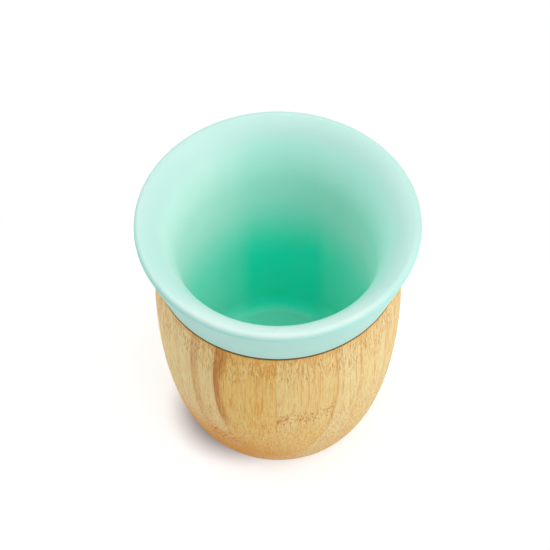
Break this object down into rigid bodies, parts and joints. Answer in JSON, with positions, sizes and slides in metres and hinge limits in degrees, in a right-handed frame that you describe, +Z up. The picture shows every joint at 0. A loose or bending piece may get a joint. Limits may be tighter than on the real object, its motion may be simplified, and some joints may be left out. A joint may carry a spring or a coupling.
{
  "type": "bamboo cup",
  "caption": "Open drinking cup: a turned bamboo shell with a lift-out silicone liner whose flared mouth hangs on the shell's top edge.",
  "frame": {"origin": "centre of the flat base of the bamboo shell, where the cup stands", "axes": "+Z up along the cup's axis of revolution, towards the mouth; the front of the picture is towards -Y"},
  "size_m": [0.084, 0.084, 0.0882],
  "materials": {
    "bamboo": "laminated bamboo, turned and sanded, satin oil finish",
    "silicone": "moulded mint-green silicone, matte"
  },
  "bodies": {
    "shell": {"bamboo_shell": "bamboo"},
    "liner": {"silicone_liner": "silicone"}
  },
  "joints": [
    {"name": "liner_lift", "type": "slide", "parent": "shell", "child": "liner", "axis": [0, 0, 1], "range_m": [0, 0.08]}
  ]
}
